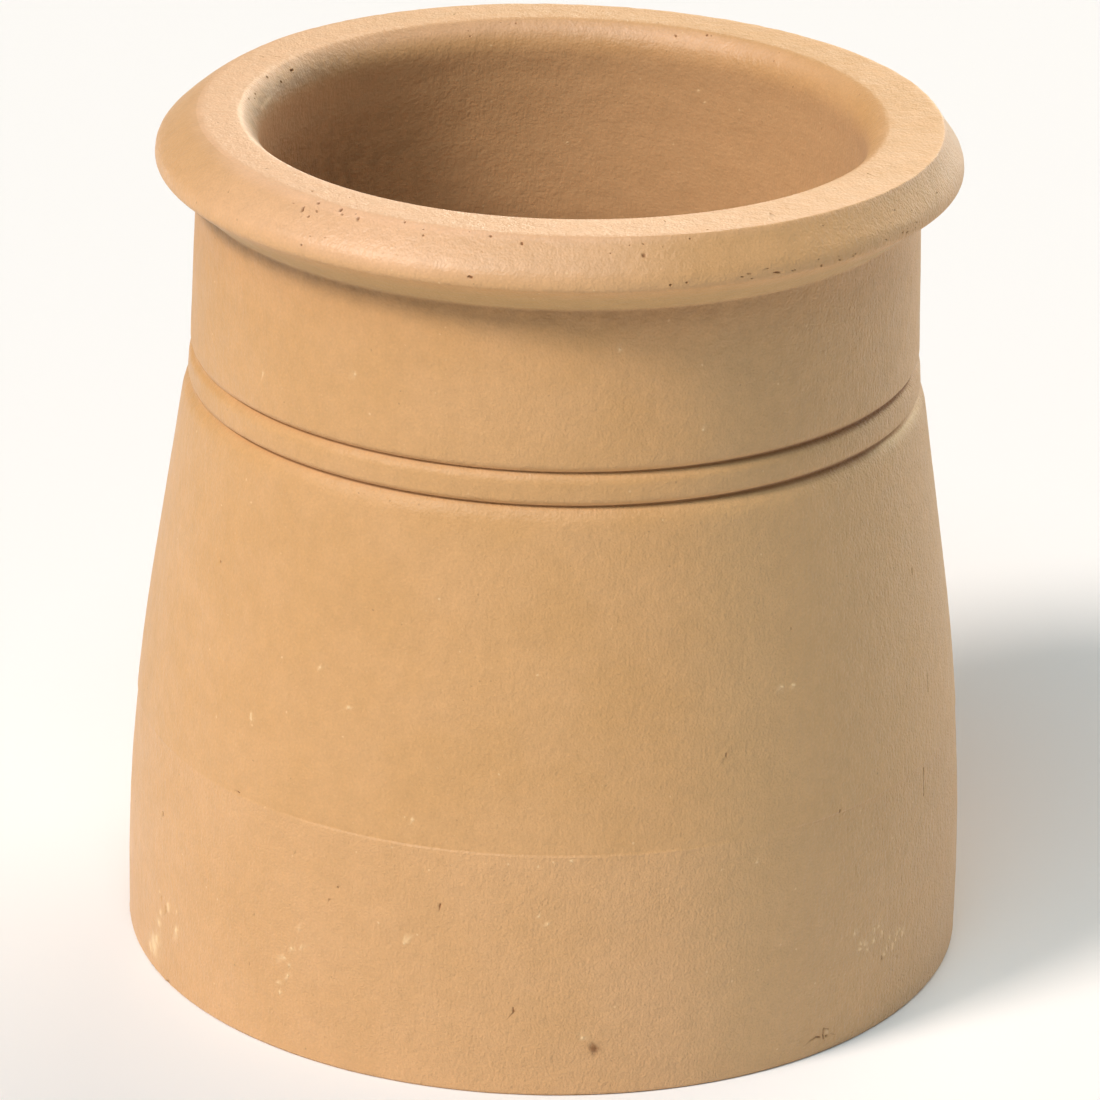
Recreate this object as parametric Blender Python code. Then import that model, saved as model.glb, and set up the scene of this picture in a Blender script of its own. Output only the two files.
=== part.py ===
"""A roll-top chimney pot: one hollow piece of buff fired clay, turned about the Z axis.

The origin is the middle of the foot, on the ground, and +Z runs up the flue. Sizes are in metres,
radii are measured from the axis and heights from the ground.
"""

from math import acos, ceil, cos, radians, sin, tan, tau

import bpy
from mathutils import Vector

# The whole pot: the clay is as thick in the neck as in the body.
HEIGHT = 0.300
WALL = 0.0205

# The rolled rim: a flat top, a sloping face that bulges out to the rim's widest line, and an undercut.
TOP_EDGE_RADIUS = 0.1290
RIM_RADIUS = 0.1385
RIM_FACE_FALL = radians(49)
RIM_BULGE = 0.0080
RIM_UNDERSIDE_HEIGHT = 0.2845
RIM_UNDERSIDE_ROUNDING = 0.0025
UNDERCUT_FROM_PLUMB = radians(52)

# The neck widens a little on its way down to the upper groove.
NECK_TOP_RADIUS = 0.1245
NECK_TOP_ROUNDING = 0.0015
NECK_FOOT_RADIUS = 0.1264
NECK_FOOT_HEIGHT = 0.2186
NECK_FOOT_ROUNDING = 0.003

# Two turned grooves with a bead between them. A groove's upper side is steep, its lower side a ledge.
UPPER_GROOVE_RADIUS = 0.1242
UPPER_GROOVE_HEIGHT = 0.2169
BEAD_TOP_RADIUS = 0.1269
BEAD_TOP_HEIGHT = 0.2144
BEAD_TOP_ROUNDING = 0.004
BEAD_FOOT_RADIUS = 0.1273
BEAD_FOOT_HEIGHT = 0.2070
BEAD_FOOT_ROUNDING = 0.0025
LOWER_GROOVE_RADIUS = 0.1252
LOWER_GROOVE_HEIGHT = 0.2054
GROOVE_ROUNDING = 0.0004

# The body: a straight taper below the shoulder, bent in one long curve into an upright foot.
SHOULDER_HEIGHT = 0.2023
SHOULDER_ROUNDING = 0.009
BODY_TAPER = 0.155
BODY_BEND_HEIGHT = 0.0754
BODY_BEND_RADIUS = 0.737
FOOT_RADIUS = 0.1485
FOOT_ROUNDING = 0.002

# The flue: the hollow follows the body up to a straight bore, which opens in a bevel at the top.
FLUE_BEND_RADIUS = 0.080
BORE_BEVEL = 0.0063
FLUE_EDGE_ROUNDING = 0.001

# How finely the round shapes are cut into flat facets.
FACETS_AROUND = 80
OUTLINE_CHORD_ERROR = 0.00015
JOIN_DISTANCE = 0.00001
SHARP_EDGE = radians(25)

# Fired clay: its linear colour, and a dry, unglazed surface.
CLAY_COLOUR = (0.64, 0.40, 0.21, 1.0)
CLAY_ROUGHNESS = 0.9


def clear_scene():
    for thing in list(bpy.data.objects):
        bpy.data.objects.remove(thing)


def fired_clay():
    clay = bpy.data.materials.new("fired_clay")
    clay.use_nodes = True
    surface = clay.node_tree.nodes["Principled BSDF"]
    surface.inputs["Base Color"].default_value = CLAY_COLOUR
    surface.inputs["Roughness"].default_value = CLAY_ROUGHNESS
    surface.inputs["Metallic"].default_value = 0.0
    return clay


def outer_corners():
    """Sharp corners of the outer side, as (radius, height, rounding), from the flat top down."""
    rim_corner_height = HEIGHT - (RIM_RADIUS - TOP_EDGE_RADIUS) * tan(RIM_FACE_FALL)
    undercut_depth = RIM_RADIUS - NECK_TOP_RADIUS
    neck_top_height = RIM_UNDERSIDE_HEIGHT - undercut_depth / tan(UNDERCUT_FROM_PLUMB)
    shoulder_radius = FOOT_RADIUS - BODY_TAPER * (SHOULDER_HEIGHT - BODY_BEND_HEIGHT)
    return [
        (TOP_EDGE_RADIUS, HEIGHT, FLUE_EDGE_ROUNDING),
        (RIM_RADIUS, rim_corner_height, RIM_BULGE),
        (RIM_RADIUS, RIM_UNDERSIDE_HEIGHT, RIM_UNDERSIDE_ROUNDING),
        (NECK_TOP_RADIUS, neck_top_height, NECK_TOP_ROUNDING),
        (NECK_FOOT_RADIUS, NECK_FOOT_HEIGHT, NECK_FOOT_ROUNDING),
        (UPPER_GROOVE_RADIUS, UPPER_GROOVE_HEIGHT, GROOVE_ROUNDING),
        (BEAD_TOP_RADIUS, BEAD_TOP_HEIGHT, BEAD_TOP_ROUNDING),
        (BEAD_FOOT_RADIUS, BEAD_FOOT_HEIGHT, BEAD_FOOT_ROUNDING),
        (LOWER_GROOVE_RADIUS, LOWER_GROOVE_HEIGHT, GROOVE_ROUNDING),
        (shoulder_radius, SHOULDER_HEIGHT, SHOULDER_ROUNDING),
        (FOOT_RADIUS, BODY_BEND_HEIGHT, BODY_BEND_RADIUS),
        (FOOT_RADIUS, 0.0, FOOT_ROUNDING),
    ]


def flue_corners():
    """Sharp corners of the hollow, as (radius, height, rounding), from the ground up."""
    bore_radius = NECK_TOP_RADIUS - WALL
    foot_bore_radius = FOOT_RADIUS - WALL
    flue_bend_height = BODY_BEND_HEIGHT + (foot_bore_radius - bore_radius) / BODY_TAPER
    return [
        (foot_bore_radius, 0.0, FOOT_ROUNDING),
        (foot_bore_radius, BODY_BEND_HEIGHT, BODY_BEND_RADIUS - WALL),
        (bore_radius, flue_bend_height, FLUE_BEND_RADIUS),
        (bore_radius, HEIGHT - BORE_BEVEL, FLUE_EDGE_ROUNDING),
        (bore_radius + BORE_BEVEL, HEIGHT, FLUE_EDGE_ROUNDING),
    ]


def rounded_corner(before, corner, after, rounding):
    """Points on the arc that touches both sides of a corner."""
    arriving = (corner - before).normalized()
    leaving = (after - corner).normalized()
    turn = arriving.angle(leaving)
    sideways = (leaving - arriving * arriving.dot(leaving)).normalized()
    start = corner - arriving * rounding * tan(turn / 2)
    finest_turn = 2 * acos(1 - OUTLINE_CHORD_ERROR / rounding)
    steps = ceil(turn / finest_turn)
    points = []
    for step in range(steps + 1):
        swing = turn * step / steps
        points.append(start + rounding * (arriving * sin(swing) + sideways * (1 - cos(swing))))
    return points


def rounded_outline(corners):
    """A closed outline of (radius, height) points, with an arc in place of each sharp corner."""
    sharp = [Vector((radius, height)) for radius, height, rounding in corners]
    outline = []
    for number, (radius, height, rounding) in enumerate(corners):
        after = sharp[(number + 1) % len(sharp)]
        outline += rounded_corner(sharp[number - 1], sharp[number], after, rounding)
    return outline


def turned_piece(name, outline, material):
    """An outline on the +X side, running down its outer side, turned about the Z axis."""
    points = [(radius, 0.0, height) for radius, height in outline]
    edges = [(number, (number + 1) % len(points)) for number in range(len(points))]
    mesh = bpy.data.meshes.new(name)
    mesh.from_pydata(points, edges, [])
    mesh.materials.append(material)
    piece = bpy.data.objects.new(name, mesh)
    bpy.context.scene.collection.objects.link(piece)
    turning = piece.modifiers.new("turning", "SCREW")
    turning.axis = "Z"
    turning.angle = tau
    turning.steps = FACETS_AROUND
    turning.render_steps = FACETS_AROUND
    turning.use_merge_vertices = True
    turning.merge_threshold = JOIN_DISTANCE
    turning.use_smooth_shade = True
    return piece


def shade_round(piece):
    """Fix the turned shape as a mesh and shade it smooth, but for its arrises."""
    bpy.context.view_layer.update()
    evaluated = piece.evaluated_get(bpy.context.evaluated_depsgraph_get())
    turned = bpy.data.meshes.new_from_object(evaluated)
    turned.shade_smooth()
    turned.set_sharp_from_angle(angle=SHARP_EDGE)
    piece.modifiers.clear()
    piece.data = turned


clear_scene()
pot = turned_piece("chimney_pot", rounded_outline(outer_corners() + flue_corners()), fired_clay())
shade_round(pot)
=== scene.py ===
import random
from math import ceil, cos, radians, sin, tan, tau

import bmesh
import bpy
import numpy as np
from mathutils import Matrix, Vector
from mathutils.kdtree import KDTree
from mathutils.noise import noise


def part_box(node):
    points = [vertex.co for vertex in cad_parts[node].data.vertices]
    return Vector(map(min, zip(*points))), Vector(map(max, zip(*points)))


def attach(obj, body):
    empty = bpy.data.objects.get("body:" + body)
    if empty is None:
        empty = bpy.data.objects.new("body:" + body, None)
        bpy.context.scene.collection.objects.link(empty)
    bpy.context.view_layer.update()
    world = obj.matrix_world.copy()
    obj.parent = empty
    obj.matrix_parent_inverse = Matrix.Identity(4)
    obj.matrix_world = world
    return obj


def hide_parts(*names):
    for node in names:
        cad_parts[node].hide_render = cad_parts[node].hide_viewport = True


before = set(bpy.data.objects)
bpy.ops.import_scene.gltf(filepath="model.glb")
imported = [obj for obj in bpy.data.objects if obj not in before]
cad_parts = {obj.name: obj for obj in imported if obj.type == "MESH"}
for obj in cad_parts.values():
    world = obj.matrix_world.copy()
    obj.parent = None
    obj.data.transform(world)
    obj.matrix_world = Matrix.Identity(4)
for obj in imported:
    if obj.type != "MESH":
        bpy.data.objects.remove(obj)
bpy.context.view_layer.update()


# The wall of the pot
# A chimney pot is one hollow piece of coarse buff clay. It is turned to a template while it is still damp,
# left to dry on its foot and fired without a glaze. Nothing is fixed to it: rim, neck and body are one wall.
_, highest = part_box("chimney_pot")
HEIGHT = highest.z
FOOT_RADIUS = highest.x
WALL = 0.0205

TOP_EDGE_RADIUS = 0.1290
RIM_RADIUS = 0.1385
RIM_FACE_FALL = radians(49)
RIM_UNDERSIDE_HEIGHT = 0.2845
UNDERCUT_FROM_PLUMB = radians(52)
NECK_TOP_RADIUS = 0.1245
NECK_FOOT_RADIUS = 0.1264
NECK_FOOT_HEIGHT = 0.2186
UPPER_GROOVE_RADIUS = 0.1242
UPPER_GROOVE_HEIGHT = 0.2169
BEAD_TOP_RADIUS = 0.1269
BEAD_TOP_HEIGHT = 0.2144
BEAD_FOOT_RADIUS = 0.1273
BEAD_FOOT_HEIGHT = 0.2070
LOWER_GROOVE_RADIUS = 0.1252
LOWER_GROOVE_HEIGHT = 0.2054
SHOULDER_HEIGHT = 0.2023
BODY_TAPER = 0.155
BODY_BEND_HEIGHT = 0.0754
BODY_BEND_RADIUS = 0.737
MOUTH_BEVEL = 0.0063

flue_radius = NECK_TOP_RADIUS - WALL
foot_bore_radius = FOOT_RADIUS - WALL
flue_bend_height = BODY_BEND_HEIGHT + (foot_bore_radius - flue_radius) / BODY_TAPER
rim_corner_height = HEIGHT - (RIM_RADIUS - TOP_EDGE_RADIUS) * tan(RIM_FACE_FALL)
neck_top_height = RIM_UNDERSIDE_HEIGHT - (RIM_RADIUS - NECK_TOP_RADIUS) / tan(UNDERCUT_FROM_PLUMB)
shoulder_radius = FOOT_RADIUS - BODY_TAPER * (SHOULDER_HEIGHT - BODY_BEND_HEIGHT)

# The template's corners as (radius, height, rounding): up the flue, over the rim, down the outside.
template = [
    (foot_bore_radius, 0.0, 0.0015),
    (foot_bore_radius, BODY_BEND_HEIGHT, BODY_BEND_RADIUS - WALL),
    (flue_radius, flue_bend_height, 0.080),
    (flue_radius, HEIGHT - MOUTH_BEVEL, 0.0120),
    (flue_radius + MOUTH_BEVEL, HEIGHT, 0.0035),
    (TOP_EDGE_RADIUS, HEIGHT, 0.0010),
    (RIM_RADIUS, rim_corner_height, 0.0080),
    (RIM_RADIUS, RIM_UNDERSIDE_HEIGHT, 0.0025),
    (NECK_TOP_RADIUS, neck_top_height, 0.0015),
    (NECK_FOOT_RADIUS, NECK_FOOT_HEIGHT, 0.0030),
    (UPPER_GROOVE_RADIUS, UPPER_GROOVE_HEIGHT, 0.0004),
    (BEAD_TOP_RADIUS, BEAD_TOP_HEIGHT, 0.0040),
    (BEAD_FOOT_RADIUS, BEAD_FOOT_HEIGHT, 0.0025),
    (LOWER_GROOVE_RADIUS, LOWER_GROOVE_HEIGHT, 0.0004),
    (shoulder_radius, SHOULDER_HEIGHT, 0.0090),
    (FOOT_RADIUS, BODY_BEND_HEIGHT, BODY_BEND_RADIUS),
    (FOOT_RADIUS, 0.0, 0.0012),
]


def walk_round(corners, widest_turn):
    """Stops on one walk round the template: (distance walked, radius, height, heading out, heading up)."""
    sharp = [Vector((radius, height)) for radius, height, rounding in corners]
    stops = []
    walked = 0.0
    for number, (radius, height, rounding) in enumerate(corners):
        corner = sharp[number]
        arriving = (corner - sharp[number - 1]).normalized()
        leaving = (sharp[(number + 1) % len(sharp)] - corner).normalized()
        turn = arriving.angle(leaving)
        sideways = (leaving - arriving * arriving.dot(leaving)).normalized()
        start = corner - arriving * rounding * tan(turn / 2)
        if stops:
            walked = stops[-1][0] + (start - Vector(stops[-1][1:3])).length
        steps = ceil(turn / widest_turn)
        for step in range(steps + 1):
            swing = turn * step / steps
            place = start + rounding * (arriving * sin(swing) + sideways * (1 - cos(swing)))
            heading = arriving * cos(swing) + sideways * sin(swing)
            stops.append((walked + rounding * swing, *place, *heading))
    first = stops[0]
    whole_way = stops[-1][0] + (Vector(first[1:3]) - Vector(stops[-1][1:3])).length
    stops.append((whole_way, *first[1:]))
    return np.array(stops)


close_walk = walk_round(template, radians(0.5))


def wall_at(walked):
    """Radius, height and outward direction of the wall at each distance walked."""
    radius, height, heading_out, heading_up = (
        np.interp(walked, close_walk[:, 0], close_walk[:, column]) for column in range(1, 5)
    )
    length = np.hypot(heading_out, heading_up)
    return radius, height, -heading_up / length, heading_out / length


def walked_to(radius, height):
    """The distance walked to the point of the wall nearest to a radius and a height."""
    gaps = np.hypot(close_walk[:, 1] - radius, close_walk[:, 2] - height)
    nearest = int(gaps.argmin())
    before, after = close_walk[max(nearest - 1, 0)], close_walk[min(nearest + 1, len(close_walk) - 1)]
    span = np.linspace(before[0], after[0], 400)
    wall_radius, wall_height, _, _ = wall_at(span)
    return float(span[np.hypot(wall_radius - radius, wall_height - height).argmin()])


# Rows of the mesh lie close together on the roundings, and closest at the ledge, at the rubbed top edge and
# beside the neck's top and the grooves, where the wall or its colour changes within a millimetre.
COLUMNS = 240
OUTSIDE_ROW = 0.0042
MOUTH_ROW = 0.0028
DEEP_FLUE_ROW = 0.0100
CLOSEST_ROWS = 0.00006
LOWEST_SEEN_IN_FLUE = 0.205
LEDGE_HEIGHT = 0.0877
LEDGE_INSET = 0.0035
mouth_starts = walked_to(flue_radius, LOWEST_SEEN_IN_FLUE)
rim_starts = walked_to(flue_radius + MOUTH_BEVEL, HEIGHT)
top_edge_walked = walked_to(TOP_EDGE_RADIUS, HEIGHT)
neck_top_walked = walked_to(NECK_TOP_RADIUS, neck_top_height)
upper_groove_walked = walked_to(UPPER_GROOVE_RADIUS, UPPER_GROOVE_HEIGHT)
lower_groove_walked = walked_to(LOWER_GROOVE_RADIUS, LOWER_GROOVE_HEIGHT)
ledge_walked = walked_to(FOOT_RADIUS - LEDGE_INSET, LEDGE_HEIGHT)

rows = []
corner_stops = walk_round(template, radians(14))[:, 0]
for here, there in zip(corner_stops[:-1], corner_stops[1:]):
    widest = OUTSIDE_ROW
    if there < mouth_starts:
        widest = DEEP_FLUE_ROW
    elif there < rim_starts:
        widest = MOUTH_ROW
    rows += list(np.linspace(here, there, max(ceil((there - here) / widest), 1), endpoint=False))
for middle, reach, spacing in ((ledge_walked, 0.0015, 0.00025), (top_edge_walked, 0.0030, 0.0006)):
    rows = [row for row in rows if abs(row - middle) > reach + spacing]
    rows += list(middle + np.arange(-reach, reach, spacing))
for corner_walked in (neck_top_walked, upper_groove_walked, lower_groove_walked):
    rows += [corner_walked + aside / 1000 for aside in (-1.8, -1.2, -0.8, -0.5, 0.5, 0.8, 1.2, 1.8)]
rows.sort()
following_rows = rows[1:] + [close_walk[-1, 0]]
rows = [row for row, following in zip(rows, following_rows) if following - row > CLOSEST_ROWS]


def place_points(walked, round_the_pot, relief=0.0):
    """Points of the wall at distances walked and angles round the pot, raised by a relief in metres."""
    radius, height, out, up = wall_at(walked)
    radius = radius + relief * out
    x = radius * np.sin(round_the_pot)
    y = -radius * np.cos(round_the_pot)
    return np.stack([x, y, height + relief * up], -1)


# Round the pot, zero is the front and the angle grows towards the right, as the eye meets it.
angles = np.arange(COLUMNS) / COLUMNS * tau
row_grid, angle_grid = np.meshgrid(rows, angles, indexing="ij")
turned_points = place_points(row_grid.ravel(), angle_grid.ravel())
quads = []
for row in range(len(rows)):
    here = row * COLUMNS
    there = (row + 1) % len(rows) * COLUMNS
    for column in range(COLUMNS):
        beside = (column + 1) % COLUMNS
        quads.append((here + column, there + column, there + beside, here + beside))
pot_mesh = bpy.data.meshes.new("fired_clay_pot")
pot_mesh.from_pydata(turned_points.tolist(), [], quads)
pot_mesh.attributes.new("walked", "FLOAT", "POINT").data.foreach_set("value", row_grid.ravel())


# The marks in the clay
# Grog, gas and stray grit leave open pits, and turning and lifting leave strokes, crumbs and knocks.
# They are real hollows and lumps of the surface, so the mesh is cut finer round each one and shaped there.
def walked_down_to(height):
    """The distance walked to a height of the outside, where the walk only goes down."""
    down = close_walk[:, 0] > top_edge_walked
    return float(np.interp(-height, -close_walk[down, 2], close_walk[down, 0]))


class Mark:
    """A hollow in the wall, or a crumb on it where the depth is below zero. Degrees and millimetres.

    It lies on the outside, unless a radius says that it is on the flat top, in the mouth or in the flue. It
    may be a stroke, which runs up the wall or leans over. It may be darker or paler than the clay round it.
    """

    def __init__(self, angle, height, width, depth, length=0.0, lean=0.0, dark=1.0, pale=0.0, radius=None):
        self.angle = radians(angle)
        self.walked = walked_to(radius / 1000, height / 1000) if radius else walked_down_to(height / 1000)
        self.half_width = width / 2000
        self.half_length = max(length, width) / 2000
        self.depth = depth / 1000
        self.lean = radians(lean)
        self.dark = dark
        self.pale = pale
        self.radius = float(wall_at(self.walked)[0])

    def stations(self):
        """Points along the mark, half a width apart or closer."""
        spare = self.half_length - self.half_width
        number = 1 + 2 * ceil(spare / self.half_width / 2)
        shifts = np.linspace(-spare, spare, number) if number > 1 else np.zeros(1)
        round_the_pot = self.angle + shifts * sin(self.lean) / self.radius
        return place_points(self.walked + shifts * cos(self.lean), round_the_pot)


# Pits on the rim: its sloping face, its lower edge, its flat top and the mouth's bevel.
marks = [
    Mark(12, 294.9, 1.8, 0.68),
    Mark(-40, 296.9, 1.2, 0.5, length=2.2, lean=25),
    Mark(-38.3, 299.1, 1.3, 0.54, length=1.4, lean=70),
    Mark(-38.3, 295.8, 1.1, 0.41),
    Mark(-37.6, 297.4, 0.7, 0.3, length=1.6, lean=60, dark=0.7),
    Mark(-39.4, 295.2, 0.6, 0.25, dark=0.7),
    Mark(-33.9, 299.0, 1.4, 0.54, length=1.6, lean=20),
    Mark(-33.3, 298.2, 0.8, 0.3, length=1.3, lean=80, dark=0.7),
    Mark(-30.4, 298.1, 1.5, 0.6),
    Mark(-31.2, 299.0, 0.7, 0.3, dark=0.7),
    Mark(-23, 299.4, 0.9, 0.41),
    Mark(-19.5, 297.1, 0.8, 0.41, length=0.9, lean=80),
    Mark(-9.6, 298.8, 1.1, 0.41),
    Mark(-5, 297.6, 1.2, 0.54),
    Mark(19, 298.6, 0.8, 0.41),
    Mark(-37, 288.5, 0.9, 0.41),
    Mark(-11.6, 287.9, 1.1, 0.54, length=2.0, lean=80),
    Mark(15.3, 286.2, 1.1, 0.54),
    Mark(17.6, 286.5, 0.9, 0.41),
    Mark(31, 286.1, 0.9, 0.4, length=2.4, lean=80, dark=0.8),
    Mark(38.4, 285.2, 1.2, 0.54, dark=0.9),
    Mark(-42, 300, 1.5, 0.6, radius=124.1),
    Mark(-47, 300, 0.8, 0.41, radius=125.8),
    Mark(-96, 298.5, 0.8, 0.41, radius=108.8),
    Mark(-109, 298.8, 1.2, 0.54, radius=109.1),
    Mark(-112, 295.9, 1.1, 0.41, radius=106.2),
    Mark(-117.5, 297.1, 1.2, 0.54, length=2.2, lean=85, radius=107.4),
    Mark(158, 297.4, 1.2, 0.41, radius=107.7),
    Mark(152, 298.9, 1.1, 0.41, radius=109.2),
]
# Dark pits and strokes on the body, with the cracked flake at the foot's edge.
marks += [
    Mark(-63.8, 62.5, 0.8, 0.3, length=2.4, lean=10),
    Mark(-45.5, 88.5, 0.7, 0.2, length=1.5, lean=75),
    Mark(-34.8, 75.2, 0.7, 0.2),
    Mark(-27.8, 67.4, 0.8, 0.3),
    Mark(-29.1, 62.2, 0.6, 0.2),
    Mark(-41.3, 47, 0.8, 0.3),
    Mark(-42, 28, 0.6, 0.15, length=1.6, dark=0.5),
    Mark(-63.2, 30.7, 0.7, 0.2, length=2.6, dark=0.4),
    Mark(-61.8, 28.3, 0.6, 0.3, length=3.0, lean=10, dark=0.5),
    Mark(-13.3, 67.6, 0.8, 0.3, length=2.0, lean=-8),
    Mark(-3.3, 32, 0.8, 0.3, length=2.2, lean=6),
    Mark(65.9, 156.4, 0.8, 0.3, length=3.0, lean=-5),
    Mark(67.5, 115, 0.6, 0.2, length=8.0, lean=-4),
    Mark(64.3, 81, 0.6, 0.2, length=11.0, lean=-3),
    Mark(73.7, 255.4, 0.7, 0.3, length=2.0),
    Mark(52.6, 26.2, 0.7, 0.3, length=2.0, lean=10, dark=0.8),
    Mark(39.45, 6.7, 0.8, 0.3, length=3.0, lean=104, dark=0.6),
    Mark(40.3, 6.7, 0.9, 0.4, length=2.8, lean=74, dark=0.9),
    Mark(41.2, 8.3, 0.8, 0.4, length=2.8, dark=0.8),
    Mark(41.25, 6.2, 0.8, 0.4, length=2.8, lean=7, dark=0.9),
    Mark(41.7, 8.8, 0.8, 0.3, length=3.4, lean=65, dark=0.5),
    Mark(43.05, 5.6, 0.7, 0.2, length=3.0, lean=63, dark=0.25),
    Mark(41.8, 5.9, 1.4, 0.5),
    Mark(41.8, 7.6, 1.6, -0.15, length=2.2, dark=0.0, pale=0.35),
]
# An iron spot that burnt in the kiln, with its faint halo.
marks += [
    Mark(7.3, 17.8, 5.0, 0.12),
    Mark(7.3, 17.8, 7.5, 0.0, dark=0.3),
]
# Paler crumbs, as (angle, height, width, length, lean). The width is of what shows pale, and the crumb's
# skirt is wider.
SKIRT = 1.35
CRUMB_HEIGHT = 0.22
knock_at_left = (
    (-61.0, 30, 1.6, 3.8, 8), (-63.5, 25, 1.4, 1.8, 80), (-64, 20.5, 2.0, 2.8, -20),
    (-66, 9.5, 4.2, 7.5, 12), (-65, 13, 2.0, 4.0, -10), (-67.5, 7, 2.0, 4.0, 30),
    (-58.5, 24, 1.4, 3.0, -25), (-64, 32.5, 0.8, 0.8, 0), (-58.5, 31, 0.6, 1.4, 0),
)
trail_in_front_of_it = (
    (-33.5, 48, 0.6, 1.0, 0), (-34.7, 40, 0.7, 1.2, 60), (-35.8, 35.5, 0.8, 1.2, 30),
    (-35, 33.5, 0.8, 0.8, 0), (-35.2, 29.5, 0.8, 1.2, 0), (-36.8, 25.5, 0.8, 1.0, 40),
    (-36.5, 22, 0.6, 1.6, 0), (-33.2, 41.5, 0.6, 0.8, 0),
)
scuffed_patch_at_right = (
    (46.5, 41, 0.8, 1.3, 0), (47.8, 36, 0.8, 1.8, 35), (48.6, 35, 0.7, 1.2, 0), (52.5, 36, 0.7, 1.6, 10),
    (55.9, 30, 0.8, 1.6, 0), (47.7, 34, 0.9, 2.0, 85), (49.2, 32.5, 0.9, 1.3, 20), (50.7, 38.5, 0.8, 1.8, 0),
    (51.7, 39, 0.8, 1.2, 0), (50.5, 34.5, 1.0, 2.0, -15), (54.3, 32, 0.8, 1.8, 0), (55.2, 28, 0.9, 3.0, -10),
    (56.3, 32, 0.9, 2.2, -25), (57.6, 30.5, 0.8, 2.4, 15), (56.9, 33, 0.8, 1.6, 20), (53.1, 27, 0.9, 1.8, 30),
    (53.7, 28.5, 0.7, 1.6, 0),
)
single_crumbs = (
    (-31.4, 243, 0.7, 0.7, 0), (-50.4, 232.5, 0.7, 0.7, 0), (23, 230, 0.7, 0.7, 0), (9.7, 260, 0.7, 0.7, 0),
    (-28.1, 130.5, 0.9, 0.9, 0), (-33.2, 141.5, 0.6, 0.6, 0), (-44.5, 116.5, 0.6, 3.0, 12),
    (-17.6, 96.5, 0.8, 1.2, 0), (-18, 52, 0.6, 0.8, 0), (29.6, 79, 0.7, 0.7, 0), (3.8, 86.5, 0.7, 0.7, 0),
    (-0.3, 66.5, 0.7, 0.7, 0), (0.9, 64, 0.6, 0.6, 0), (5.7, 22, 0.9, 1.1, 0), (34.5, 138, 0.6, 1.6, 70),
    (36.5, 137.5, 0.6, 1.8, 75),
)
crumbs = knock_at_left + trail_in_front_of_it + scuffed_patch_at_right + single_crumbs
for angle, height, width, length, lean in crumbs:
    crumb = Mark(angle, height, width * SKIRT, -CRUMB_HEIGHT, length=length, lean=lean, dark=0.0, pale=0.95)
    marks.append(crumb)
# Three crumbs in the flue, and a painted highlight along the mouth's left.
for angle, height in ((152, 279.5), (150.5, 275.5), (178.5, 255)):
    marks.append(Mark(angle, height, 0.9, -0.15, dark=0.0, pale=0.9, radius=104))
marks.append(Mark(-101.5, 294.4, 1.7, 0.0, length=14.0, lean=90, dark=0.0, pale=0.5, radius=104.6))

# The pits that are too small and too many to tell apart are scattered.
chance = random.Random(31)


def scatter(number, angles, heights, widths, depth_share, longest=1.0, lean=0.0, dark=1.0, radii=None):
    """Marks at chance places within a band of the wall. Each is up to so many times as long as wide."""
    for _ in range(number):
        along = chance.random()
        width = chance.uniform(*widths)
        marks.append(Mark(
            chance.uniform(*angles),
            heights[0] + (heights[1] - heights[0]) * along,
            width,
            width * depth_share,
            length=width * chance.uniform(1.0, longest),
            lean=lean + chance.uniform(-25, 25),
            dark=dark * chance.uniform(0.5, 1.0),
            radius=radii and radii[0] + (radii[1] - radii[0]) * along,
        ))


# On the rim's face in front and behind, its flat top, its lower edge at the right and the mouth's back.
scatter(14, (-60, 60), (299.5, 291), (0.4, 0.7), 0.4, longest=1.8, lean=80)
scatter(14, (60, 300), (299.5, 289), (0.5, 1.0), 0.4, longest=2.0, lean=80)
scatter(22, (0, 360), (300, 300), (0.4, 0.8), 0.4, longest=1.8, radii=(112, 127))
scatter(20, (24, 62), (288.0, 285.4), (0.5, 0.8), 0.4, longest=2.0, lean=80, dark=0.8)
scatter(10, (90, 270), (294.8, 299.5), (0.5, 0.9), 0.4, longest=1.5, radii=(105, 109.5))
# On the sides and back of the neck, all round the body, and on the sides and back of the foot and its edge.
scatter(10, (60, 300), (225, 268), (0.5, 0.9), 0.35, longest=2.0)
scatter(10, (-70, 300), (80, 195), (0.5, 0.9), 0.35, longest=2.2)
scatter(14, (70, 300), (4, 80), (0.5, 1.0), 0.35, longest=3.5)
scatter(10, (80, 300), (0.8, 0.2), (1.2, 3.0), 0.25, longest=2.0, lean=90, dark=0.3)

# Rounds of finer cuts. Each halves the mesh's squares, and takes in less ground, round fewer marks: a mark
# is done once it is three squares wide.
SQUARES_ACROSS_A_MARK = 3
CUT_MARGINS = (0.0038, 0.0018, 0.0009, 0.0004)
square = tau * FOOT_RADIUS / COLUMNS
cut_mesh = bmesh.new()
cut_mesh.from_mesh(pot_mesh)
for margin in CUT_MARGINS:
    cut_mesh.verts.index_update()
    finder = KDTree(len(cut_mesh.verts))
    for point in cut_mesh.verts:
        finder.insert(point.co, point.index)
    finder.balance()
    near = set()
    for mark in marks:
        if mark.half_width * 2 < square * SQUARES_ACROSS_A_MARK:
            for station in mark.stations():
                near.update(found[1] for found in finder.find_range(station, mark.half_width + margin))
    edges = [edge for edge in cut_mesh.edges if edge.verts[0].index in near and edge.verts[1].index in near]
    bmesh.ops.subdivide_edges(cut_mesh, edges=edges, cuts=1, use_grid_fill=True)
    square /= 2
cut_mesh.to_mesh(pot_mesh)
cut_mesh.free()

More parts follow.
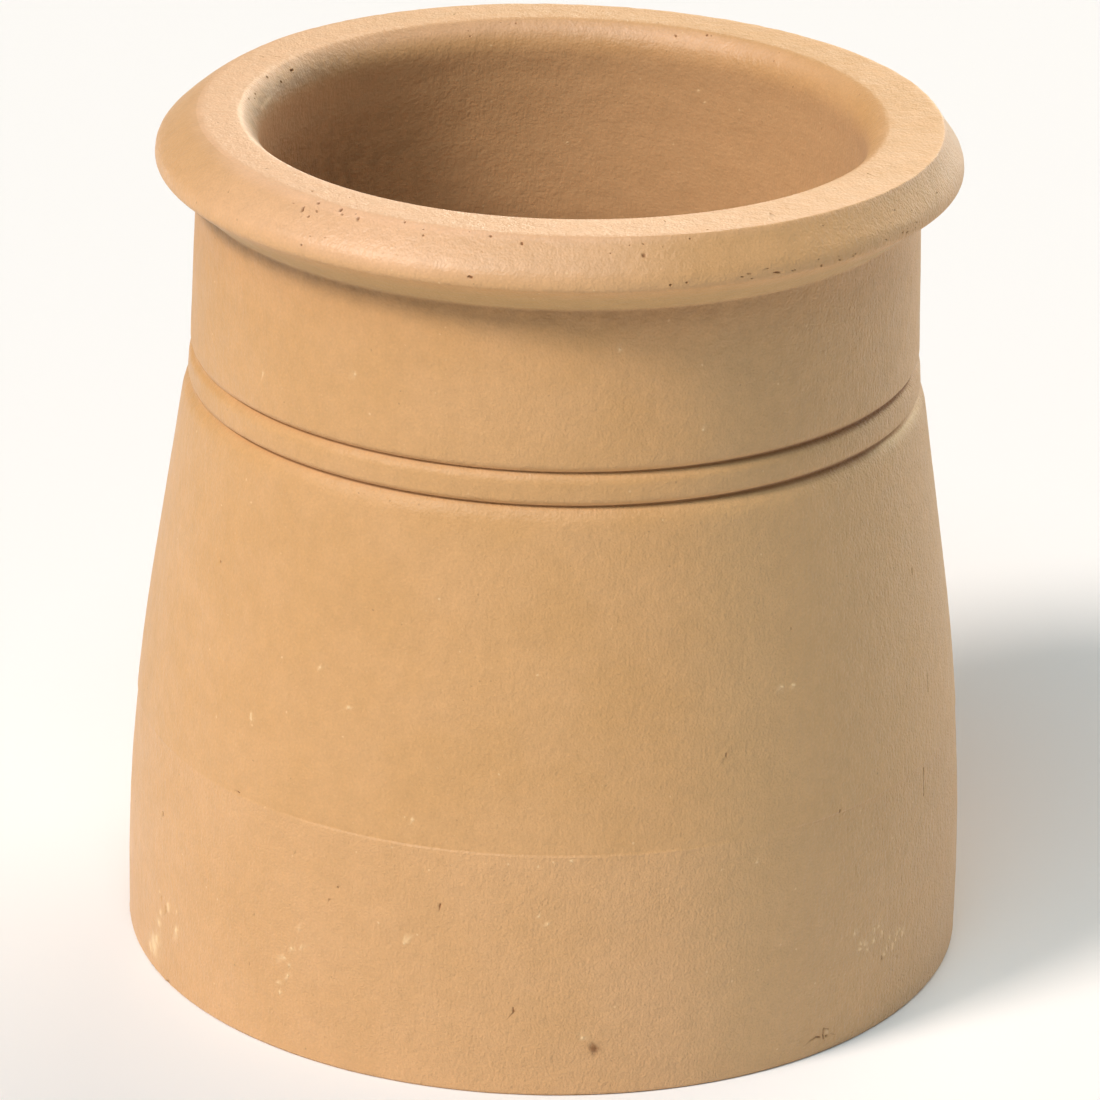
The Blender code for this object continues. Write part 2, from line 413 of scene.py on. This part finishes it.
number_of_points = len(pot_mesh.vertices)
walked = np.empty(number_of_points, np.float32)
pot_mesh.attributes["walked"].data.foreach_get("value", walked)
walked = walked.astype(float)
coordinates = np.empty(number_of_points * 3, np.float32)
pot_mesh.vertices.foreach_get("co", coordinates)
around = np.arctan2(coordinates[0::3], -coordinates[1::3]).astype(float)
round_points = place_points(walked, around)
_, wall_height, _, wall_up = wall_at(walked)
outside = walked > top_edge_walked
in_flue = walked < rim_starts


# The faults of hand turning
# A pot that is turned by hand is never quite true. The wall swells, the template is set a hair off, grooves
# run out and edges rub and chip. It is all small, and each point of the mesh is moved by it.
def smooth_step(start, end, values):
    """0 up to the start, 1 from the end on, and an even curve between."""
    share = np.clip((values - start) / (end - start), 0, 1)
    return share * share * (3 - 2 * share)


def bell(values, width):
    """1 where the values are zero, and next to nothing from twice the width on, either way."""
    return np.exp(-((values / width) ** 2))


def turned_from(bearing):
    """How far round the pot each point lies from a bearing, in radians, by the shorter way."""
    return (around - bearing + tau / 2) % tau - tau / 2


def round_about(bearing, full, gone):
    """1 within so many degrees of a bearing, and 0 from so many degrees on."""
    return smooth_step(radians(gone), radians(full), np.abs(turned_from(radians(bearing))))


def cloud(size, stretch=(1, 1, 1), shift=0.0):
    """Smooth chance values, about -0.7 to 0.7, with lumps of a size in metres."""
    places = round_points * np.array(stretch) / size + shift
    return np.array([noise(place) for place in places])


# Long swells lie all over, with faint turning rings, which are deeper inside. The flue is dented from just
# below the mouth down.
SWELL = 0.00035
RING = 0.00005
RING_SPACING = 0.004
FLUE_DENT = 0.00018
relief = SWELL * cloud(0.110, shift=7.0)
ring_heights = RING_SPACING * np.arange(round(HEIGHT / RING_SPACING) + 1)
rings = np.interp(wall_height, ring_heights, [chance.uniform(-1, 1) for _ in ring_heights])
relief += RING * rings * np.where(outside, 1.0, 2.0)
flue_deep = np.where(in_flue, smooth_step(HEIGHT - 0.004, HEIGHT - 0.014, wall_height), 0.0)
relief += flue_deep * FLUE_DENT * (cloud(0.0075, (1, 1, 1.6), 3.0) + 0.6 * cloud(0.020, (1, 1, 2.0), 5.0))

# The ledge: the template was set again for the last stretch, a hair off the pot's middle. So the foot
# stands proud of the body in front, and the body stands proud of the foot at the sides and behind.
LEDGE = 0.00055
LEDGE_SLOPE = 0.00042
LEDGE_WAVE = 0.0003
PROUDEST_AT = radians(-13)
FLUSH_FROM_THERE = radians(42)
ledge_height = LEDGE_HEIGHT + LEDGE_WAVE * (np.sin(around * 2 + 0.6) + 0.5 * np.sin(around * 5))
off_middle = (np.cos(around - PROUDEST_AT) - cos(FLUSH_FROM_THERE)) / (1 - cos(FLUSH_FROM_THERE))
ledge_strength = np.clip(off_middle, -0.6, 1.0) * (1 + 0.5 * cloud(0.012, shift=11.0))
below_ledge = smooth_step(LEDGE_SLOPE, -LEDGE_SLOPE, wall_height - ledge_height)
fading = 1 - 0.7 * smooth_step(0.0, 0.04, ledge_height - wall_height)
relief += np.where(outside, LEDGE * ledge_strength * below_ledge * fading, 0.0)

# The grooves run out on the left, where the tool lay off the clay, and a scrape has closed four fifths of
# the lower one at the right.
GROOVE_FILL = 0.0011
GROOVE_HALF_WIDTH = 0.0009
from_upper_groove = np.abs(walked - upper_groove_walked)
from_lower_groove = np.abs(walked - lower_groove_walked)
from_groove = np.minimum(from_upper_groove, from_lower_groove)
scraped = smooth_step(radians(65), radians(80), around) * smooth_step(radians(108), radians(95), around)
scraped *= from_lower_groove < from_upper_groove
groove_gone = np.maximum(round_about(-95, 18, 42), 0.8 * scraped)
relief += GROOVE_FILL * groove_gone * bell(from_groove, GROOVE_HALF_WIDTH)

# The rim's top edge is crisp in front and on the right, and rubbed round on the left. Small chips have
# broken out of it all the way round.
RUBBED_OFF = 0.00045
CHIPPED_OFF = 0.00032
from_edge = walked - top_edge_walked
relief -= RUBBED_OFF * round_about(-80, 14, 52) * bell(from_edge, 0.0016)
relief -= CHIPPED_OFF * bell(from_edge, 0.0010) * np.abs(cloud(0.006, shift=17.0))

# The flat top was trimmed a few millimetres off the middle and not quite round, so its outer edge lies
# further in on the left. The flue's mouth lies a millimetre to the right.
TRIMMED_IN = 0.0010
TRIMMED_OFF_MIDDLE = 0.00315
TRIMMED_OVAL = 0.00127
MOUTH_OFF_MIDDLE = 0.0010
SLOPING_FACE = 0.0150
edge_shift = TRIMMED_OFF_MIDDLE * np.sin(around) + TRIMMED_OVAL * np.sin(2 * around) - TRIMMED_IN
mouth_shift = MOUTH_OFF_MIDDLE * np.sin(around) * smooth_step(0.0, 0.15, wall_height)
across_flat_top = np.clip(1 + from_edge / (top_edge_walked - rim_starts), 0, 1)
down_sloping_face = np.clip(1 - from_edge / SLOPING_FACE, 0, 1) ** 2
top_shift = mouth_shift + (edge_shift - mouth_shift) * across_flat_top
outward_shift = np.where(outside, edge_shift * down_sloping_face, top_shift)

# Each mark is pressed in with a ragged outline and a slight lip of clay round it.
LIP_SHARE = 0.20
ragged = 1 + 0.5 * cloud(0.0008, shift=23.0)
pit = np.zeros(number_of_points)
pale = np.zeros(number_of_points)
for mark in marks:
    sideways = turned_from(mark.angle) * mark.radius
    onward = walked - mark.walked
    reach = mark.half_length + 3 * mark.half_width
    close = np.flatnonzero((np.abs(sideways) < reach) & (np.abs(onward) < reach))
    along = onward[close] * cos(mark.lean) + sideways[close] * sin(mark.lean)
    across = sideways[close] * cos(mark.lean) - onward[close] * sin(mark.lean)
    past_end = np.maximum(np.abs(along) - (mark.half_length - mark.half_width), 0)
    apart = np.hypot(across, past_end) / mark.half_width * ragged[close]
    hollow = np.clip(1 - apart ** 2, 0, 1) ** 1.5
    lip = bell(apart - 1.2, 0.3)
    relief[close] += mark.depth * (LIP_SHARE * lip - hollow)
    pit[close] = np.maximum(pit[close], mark.dark * hollow)
    pale[close] = np.maximum(pale[close], mark.pale * bell(apart, 1.0))

# The foot stays flat, so that the pot stands true, and nothing reaches past the turned size.
at_foot = wall_height < 0.0003
at_top = wall_height > HEIGHT - 0.0002
relief = np.where(at_foot | at_top, np.minimum(relief, 0.0), relief)
relief = np.where(at_foot & (wall_up <= -0.9), 0.0, relief)
shaped = place_points(walked, around, relief)
shaped[:, 0] += outward_shift * np.sin(around)
shaped[:, 1] -= outward_shift * np.cos(around)
shaped[:, 2] = np.maximum(shaped[:, 2], 0.0)
pot_mesh.vertices.foreach_set("co", shaped.astype(np.float32).ravel())


# Where the colours lie
# The kiln's heat and handling colour the clay unevenly, and some shares paint light and shade on it. Each
# share says how much of a colour or a texture a point has, from 0 to 1. Places round the pot are told by
# bearings, and places up and down the wall by how far the walk is past the mouth, the top edge or the neck's
# top.
past_mouth = walked - rim_starts
from_neck_top = walked - neck_top_walked
neck_and_down = smooth_step(-0.0008, 0.0008, from_neck_top)
above_undercut = smooth_step(0.020, 0.013, from_edge)
rim_face = np.where(outside, above_undercut, 0.0)

# Dirt and painted shade in the grooves, the painted shade widest at the right, away from the window, and
# fresh clay that the scrape drew over the lower one.
dirt_and_shade_reach = 0.00035 + 0.0017 * np.clip(np.cos(around - radians(50)), 0, 1) ** 10
groove_dirt_and_shade = np.exp(-((from_groove / dirt_and_shade_reach) ** 4)) * (1 - groove_gone)
scraped_clay = 0.9 * round_about(72, 6, 18) * bell(walked - lower_groove_walked - 0.0020, 0.0016)

# Painted shade at the left of the mouth and down the left of the flue, which face away from the window, the
# rim's painted shadow on the neck, darkest at the front and at the left, and painted shade on the neck's
# right.
painted_shade_in_mouth = 0.6 * round_about(-103, 18, 48) * bell(past_mouth + 0.006, 0.005)
painted_shade_in_flue = 0.75 * round_about(-114, 15, 55) * flue_deep
painted_shade_in_flue *= smooth_step(HEIGHT - 0.008, HEIGHT - 0.050, wall_height)
painted_shade_under_rim = 0.36 * round_about(-5, 25, 65) * smooth_step(0.011, 0.002, from_neck_top)
painted_shade_at_left_contact = 0.45 * round_about(-62, 30, 50) * smooth_step(0.0045, 0.0015, from_neck_top)
painted_shade_on_neck = 0.18 * round_about(47, 14, 32) * smooth_step(0.203, 0.213, wall_height)
painted_shade_outside = neck_and_down * np.maximum(np.maximum(painted_shade_under_rim, painted_shade_at_left_contact), painted_shade_on_neck)

# The rim is pinker, partly from the firing and partly painted light: it is painted lighter towards the window
# at the left, with painted highlights on the face left of the front and at its right end. The back of the
# mouth's bevel is pinker too and, faintly, the foot, mostly at the right.
rim = smooth_step(-0.006, 0.001, past_mouth) * (1 - 0.5 * smooth_step(0.0, 0.004, from_edge))
# Painted light: paler towards the window, which lies to the left.
rim *= above_undercut * (0.55 + 0.40 * np.cos(around + radians(55)))
# A painted highlight on the face left of the front, where the window's gloss falls.
rim += 0.35 * rim_face * bell(turned_from(radians(-28)), radians(16))
# A painted highlight on the face at its right end, from the white wall behind.
rim += 0.45 * rim_face * round_about(105, 18, 38)
rim += 0.5 * round_about(180, 30, 80) * bell(past_mouth + 0.004, 0.003)
pink_foot = 0.26 * np.clip(np.sin(around), 0, 1) * smooth_step(0.0, 0.035, ledge_height - wall_height)
rim += np.where(outside, 0.12 * below_ledge + pink_foot, 0.0)

# The undercut is painted greyer and darker, as painted shade under the rim. The neck and the body are painted
# more olive at the right, as painted shade on the side away from the window, and the left of the neck and two
# stretches of the rim's face are more ochre.
undercut = smooth_step(-0.016, -0.008, from_neck_top) * smooth_step(0.0005, -0.0010, from_neck_top)
olive_painted_shade = neck_and_down * round_about(67, 36, 53)
ochre_side = neck_and_down * round_about(-104, 32, 52) * smooth_step(0.199, 0.206, wall_height)
ochre_side += rim_face * (0.8 * round_about(36, 14, 32) + 0.6 * round_about(-84, 14, 30))

# The right side is the sandier one, and the foot below the ledge is a little sandy all round.
sandy_side = round_about(95, 30, 75) * (1 - 0.35 * rim_face) * (1 + 0.5 * below_ledge)
sandy_side = np.where(outside, np.maximum(sandy_side, 0.25 * below_ledge), 0.0)
shares = {
    "rim": rim,
    "flue_wall": flue_deep,
    "undercut": undercut,
    "outer_skin": 1 - 0.55 * flue_deep - np.where(outside | in_flue, 0.0, 0.25),
    "sandy_side": sandy_side,
    # Pits, and the grooves' dirt with painted shade.
    "pit": np.maximum(pit, 0.70 * groove_dirt_and_shade),
    "pale_crumb_and_highlight": np.maximum(pale, scraped_clay),
    # Painted shade in the mouth, down the flue, under the rim and on the neck.
    "painted_shade": painted_shade_in_mouth + painted_shade_in_flue + painted_shade_outside,
    "olive_painted_shade": olive_painted_shade,
    "ochre_side": ochre_side,
}
for name, values in shares.items():
    pot_mesh.attributes.new(name, "FLOAT", "POINT").data.foreach_set("value", values.astype(np.float32))
pot_mesh.attributes.remove(pot_mesh.attributes["walked"])
pot_mesh.update()
pot_mesh.shade_smooth()

pot = bpy.data.objects.new("fired_clay_pot", pot_mesh)
bpy.context.scene.collection.objects.link(pot)
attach(pot, "root")
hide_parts("chimney_pot")


# The finish: unglazed buff terracotta
# The clay fires to a warm buff. It is dry, but the template and wet hands closed its skin, so that it takes
# a soft gloss where it faces the light. Fine grit, a skin like an orange's and short drag marks break it up.
def linear(colour):
    """A hex sRGB colour as the linear values that Blender mixes."""
    parts = [int(colour[place:place + 2], 16) / 255 for place in (1, 3, 5)]
    return [part / 12.92 if part <= 0.04045 else ((part + 0.055) / 1.055) ** 2.4 for part in parts] + [1.0]


def add(tree, kind, sockets=(), **settings):
    """Add a node with its settings, and fill its sockets with values or with links from other nodes."""
    made = tree.nodes.new(kind)
    for name, value in settings.items():
        setattr(made, name, value)
    for socket, source in dict(sockets).items():
        if isinstance(source, bpy.types.NodeSocket):
            tree.links.new(source, made.inputs[socket])
        else:
            made.inputs[socket].default_value = source
    return made


BUFF = linear("#dbac76")
OCHRE_BUFF = linear("#d3a368")
OLIVE_SHADE_BUFF = linear("#d6ac78")
PINK_BUFF = linear("#f3c69e")
FLUE_BROWN = linear("#d5ab7d")
UNDERCUT_GREY = linear("#cba56f")
PALE_GRIT = linear("#fadba9")
DARK_GRIT = linear("#7b5636")
PIT_BROWN = linear("#7d4a1e")
# The colour of the painted shade.
PAINTED_SHADE_BROWN = linear("#6f5431")

clay = bpy.data.materials.new("buff_terracotta")
clay.use_nodes = True
tree = clay.node_tree
tree.nodes.clear()
place = add(tree, "ShaderNodeTexCoord").outputs["Object"]
share = {name: add(tree, "ShaderNodeAttribute", attribute_name=name).outputs["Fac"] for name in shares}

# The clay's patterns: how many millimetres across a lump is, how many times longer it is drawn round the
# pot or up it, and how many finer ones are laid over it. The clay's own grains are finer than the grain and
# the grit here, which are drawn as coarse as they need to be to show.
pattern = {}
for name, across, drawn_round, drawn_up, finer in (
    ("fired_patches", 32, 1, 1, 4),
    ("mottle", 6, 1, 1, 3),
    ("grain", 0.9, 1, 1, 2),
    ("grit", 0.8, 1, 1, 2),
    ("orange_peel", 3.2, 1, 1, 2),
    ("turning_lines", 2.2, 16, 1, 2),
    ("drag_marks", 1.2, 1, 3, 2),
    ("flue_grains", 1.3, 1.5, 1, 3),
    ("painted_shade_blots", 4, 1.3, 1, 3),
    ("gloss_patches", 10, 1, 1, 2),
):
    lumps_in_a_metre = 1000 / across
    scale = (lumps_in_a_metre / drawn_round, lumps_in_a_metre / drawn_round, lumps_in_a_metre / drawn_up)
    where = add(tree, "ShaderNodeMapping", {"Vector": place, "Scale": scale}).outputs["Vector"]
    sockets = {"Vector": where, "Scale": 1.0, "Detail": finer}
    pattern[name] = add(tree, "ShaderNodeTexNoise", sockets).outputs["Fac"]

# Broad tints, each laid over the last: its colour, where it lies, and how much of it shows there. A mix
# node's sockets for colours are told by their numbers.
MIX_UNDER, MIX_OVER, MIX_RESULT = 6, 7, 2
sockets = {"Value": pattern["fired_patches"], "From Min": 0.35, "From Max": 0.68}
ochre_patches = add(tree, "ShaderNodeMapRange", sockets, interpolation_type="SMOOTHSTEP").outputs["Result"]
colour = BUFF
for tint, where, strength in (
    (OCHRE_BUFF, ochre_patches, 0.5),
    # Pink clay, with painted light and painted highlights on the rim.
    (PINK_BUFF, share["rim"], 1.0),
    (FLUE_BROWN, share["flue_wall"], 0.8),
    # Painted shade under the rim.
    (UNDERCUT_GREY, share["undercut"], 0.8),
    (OCHRE_BUFF, share["ochre_side"], 0.6),
    # Painted shade on the right, away from the window.
    (OLIVE_SHADE_BUFF, share["olive_painted_shade"], 0.8),
):
    shown = add(tree, "ShaderNodeMath", {0: where, 1: strength}, operation="MULTIPLY").outputs[0]
    sockets = {"Factor": shown, MIX_UNDER: colour, MIX_OVER: tint}
    colour = add(tree, "ShaderNodeMix", sockets, data_type="RGBA").outputs[MIX_RESULT]

# Faint lighter and darker spots, as how far they go either way.
for name, either_way in (("mottle", 0.032), ("grain", 0.040)):
    sockets = {
        "Value": pattern[name],
        "From Min": 0.3,
        "From Max": 0.7,
        "To Min": 1 - either_way,
        "To Max": 1 + either_way,
    }
    lightness = add(tree, "ShaderNodeMapRange", sockets).outputs["Result"]
    sockets = {"Factor": 1.0, MIX_UNDER: colour, MIX_OVER: lightness}
    colour = add(tree, "ShaderNodeMix", sockets, data_type="RGBA", blend_type="MULTIPLY").outputs[MIX_RESULT]

# Sparse grit that shows in the skin, as millimetres apart and across, the share of places that have one,
# its colour and how strong it is. Each fades out towards its edge, and the places are pulled about a little,
# so that no grit is quite round.
PULL = 0.0008
pull_lumps = add(tree, "ShaderNodeTexNoise", {"Vector": place, "Scale": 1000 / 1.2}).outputs["Color"]
sockets = {0: pull_lumps, 1: (PULL, PULL, PULL), 2: place}
ragged_place = add(tree, "ShaderNodeVectorMath", sockets, operation="MULTIPLY_ADD").outputs["Vector"]
for apart, across, taken, tint, strength in (
    (4.4, 0.9, 0.22, PALE_GRIT, 0.45),
    (5.2, 0.8, 0.25, DARK_GRIT, 0.30),
    (1.9, 0.6, 0.30, PALE_GRIT, 0.14),
):
    cells = add(tree, "ShaderNodeTexVoronoi", {"Vector": ragged_place, "Scale": 1000 / apart})
    sockets = {
        "Value": cells.outputs["Color"],
        "From Min": 1 - taken,
        "From Max": 1.01 - taken,
        "To Max": strength,
    }
    chosen = add(tree, "ShaderNodeMapRange", sockets).outputs["Result"]
    sockets = {
        "Value": cells.outputs["Distance"],
        "From Min": 0.6 * across / apart,
        "From Max": 0.3 * across / apart,
    }
    round_spot = add(tree, "ShaderNodeMapRange", sockets, interpolation_type="SMOOTHSTEP").outputs["Result"]
    shown = add(tree, "ShaderNodeMath", {0: chosen, 1: round_spot}, operation="MULTIPLY").outputs[0]
    sockets = {"Factor": shown, MIX_UNDER: colour, MIX_OVER: tint}
    colour = add(tree, "ShaderNodeMix", sockets, data_type="RGBA").outputs[MIX_RESULT]

# The marks: painted shade in soft blots, dark pits, dirt with painted shade in the grooves, paler crumbs and
# a painted highlight at the mouth's left.
sockets = {"Value": pattern["painted_shade_blots"], "From Min": 0.40, "From Max": 0.60, "To Min": 0.7, "To Max": 1.2}
painted_shade_blots = add(tree, "ShaderNodeMapRange", sockets).outputs["Result"]
painted_shade = add(tree, "ShaderNodeMath", {0: painted_shade_blots, 1: share["painted_shade"]}, operation="MULTIPLY").outputs[0]
for tint, where, strength in (
    # The painted shade, in soft blots.
    (PAINTED_SHADE_BROWN, painted_shade, 0.55),
    (PIT_BROWN, share["pit"], 0.90),
    # Pale crumbs, and the painted highlight at the mouth's left.
    (PALE_GRIT, share["pale_crumb_and_highlight"], 0.95),
):
    shown = add(tree, "ShaderNodeMath", {0: where, 1: strength}, operation="MULTIPLY").outputs[0]
    sockets = {"Factor": shown, MIX_UNDER: colour, MIX_OVER: tint}
    colour = add(tree, "ShaderNodeMix", sockets, data_type="RGBA").outputs[MIX_RESULT]

# The skin's relief, one pattern over another: how deep it goes in millimetres, and where it lies.
normal = None
for name, depth, where in (
    ("grit", 0.15, share["outer_skin"]),
    ("grit", 0.40, share["sandy_side"]),
    ("orange_peel", 0.36, share["outer_skin"]),
    ("turning_lines", 0.08, 0.8),
    ("drag_marks", 0.30, 0.5),
    ("drag_marks", 0.36, share["sandy_side"]),
    ("flue_grains", 0.14, share["flue_wall"]),
    ("flue_grains", 0.40, share["painted_shade"]),
):
    sockets = {"Height": pattern[name], "Distance": depth / 1000, "Strength": where}
    if normal:
        sockets["Normal"] = normal
    normal = add(tree, "ShaderNodeBump", sockets).outputs["Normal"]

# The closed skin has a soft gloss in patches. It is a little glossier on the rim, and dull in the pits.
sockets = {
    "Value": pattern["gloss_patches"],
    "From Min": 0.3,
    "From Max": 0.7,
    "To Min": 0.48,
    "To Max": 0.58,
}
clay_gloss = add(tree, "ShaderNodeMapRange", sockets).outputs["Result"]
sockets = {0: share["rim"], 1: -0.14, 2: clay_gloss}
roughness = add(tree, "ShaderNodeMath", sockets, operation="MULTIPLY_ADD").outputs[0]
sockets = {0: share["pit"], 1: 0.40, 2: roughness}
roughness = add(tree, "ShaderNodeMath", sockets, operation="MULTIPLY_ADD").outputs[0]
surface = add(tree, "ShaderNodeBsdfPrincipled", {
    "Base Color": colour,
    "Roughness": roughness,
    "Diffuse Roughness": 0.3,
    "IOR": 1.5,
    "Metallic": 0.0,
    "Sheen Weight": 0.10,
    "Sheen Roughness": 0.5,
    "Normal": normal,
})
add(tree, "ShaderNodeOutputMaterial", {"Surface": surface.outputs["BSDF"]})
pot_mesh.materials.append(clay)


# The floor
# A plain white studio floor, wide enough to fill the view behind the pot.
FLOOR_HALF = 8.0
floor_mesh = bpy.data.meshes.new("studio_floor")
floor_corners = [(x * FLOOR_HALF, y * FLOOR_HALF, 0.0) for x, y in ((-1, -1), (1, -1), (1, 1), (-1, 1))]
floor_mesh.from_pydata(floor_corners, [], [(0, 1, 2, 3)])
floor = bpy.data.objects.new("studio_floor", floor_mesh)
bpy.context.scene.collection.objects.link(floor)
floor_paint = bpy.data.materials.new("matt_white_paint")
floor_paint.use_nodes = True
paint = floor_paint.node_tree.nodes["Principled BSDF"]
paint.inputs["Base Color"].default_value = linear("#f5f5f7")
paint.inputs["Roughness"].default_value = 0.9
paint.inputs["Specular IOR Level"].default_value = 0.1
floor_mesh.materials.append(floor_paint)


# The light
# Soft daylight from the left and above, as through a large window, and what the white walls and cards round
# the pot throw back.
def soft_light(name, bearing, elevation, width, power, colour):
    """A sun lamp with a wide disc: bearing from the front towards the right, and width, in degrees."""
    lamp = bpy.data.lights.new(name, "SUN")
    lamp.angle = radians(width)
    lamp.energy = power
    lamp.color = linear(colour)[:3]
    towards = Vector((
        sin(radians(bearing)) * cos(radians(elevation)),
        -cos(radians(bearing)) * cos(radians(elevation)),
        sin(radians(elevation)),
    ))
    holder = bpy.data.objects.new(name, lamp)
    holder.rotation_euler = towards.to_track_quat("Z", "Y").to_euler()
    bpy.context.scene.collection.objects.link(holder)


soft_light("window_light", -57, 46, 14, 2.45, "#ffefe2")
soft_light("upper_window_light", -15, 60, 40, 1.27, "#dbf5ff")
soft_light("white_wall_behind", 150, 12, 60, 2.95, "#fff2dc")
soft_light("white_card_at_right", 118, 15, 40, 0.50, "#f6faff")

room = bpy.data.worlds.new("white_room")
bpy.context.scene.world = room
room.use_nodes = True
room_tree = room.node_tree
room_tree.nodes.clear()
room_light = add(room_tree, "ShaderNodeBackground", {"Color": linear("#f8faff"), "Strength": 0.005})
add(room_tree, "ShaderNodeOutputWorld", {"Surface": room_light.outputs["Background"]})
bpy.context.scene.view_settings.view_transform = "Standard"


# The camera
# It looks down on the pot from the front, from about two metres away, with a long lens. The focal length is
# in pixels of the square photo, and the two angles are in degrees.
PHOTO_SIDE = 1100
FOCAL_LENGTH_IN_PHOTO = 5732.4
SENSOR = 36.0
CAMERA_IN_FRONT = 1.869
CAMERA_HEIGHT = 0.906
LOOKING_DOWN = 22.33
TILTED_SIDEWAYS = 1.404
camera_data = bpy.data.cameras.new("camera")
camera_data.sensor_width = SENSOR
camera_data.lens = FOCAL_LENGTH_IN_PHOTO / PHOTO_SIDE * SENSOR
camera = bpy.data.objects.new("camera", camera_data)
camera.matrix_world = (
    Matrix.Translation((0.0, -CAMERA_IN_FRONT, CAMERA_HEIGHT))
    @ Matrix.Rotation(radians(90 - LOOKING_DOWN), 4, "X")
    @ Matrix.Rotation(radians(TILTED_SIDEWAYS), 4, "Z")
)
bpy.context.scene.collection.objects.link(camera)
bpy.context.scene.camera = camera
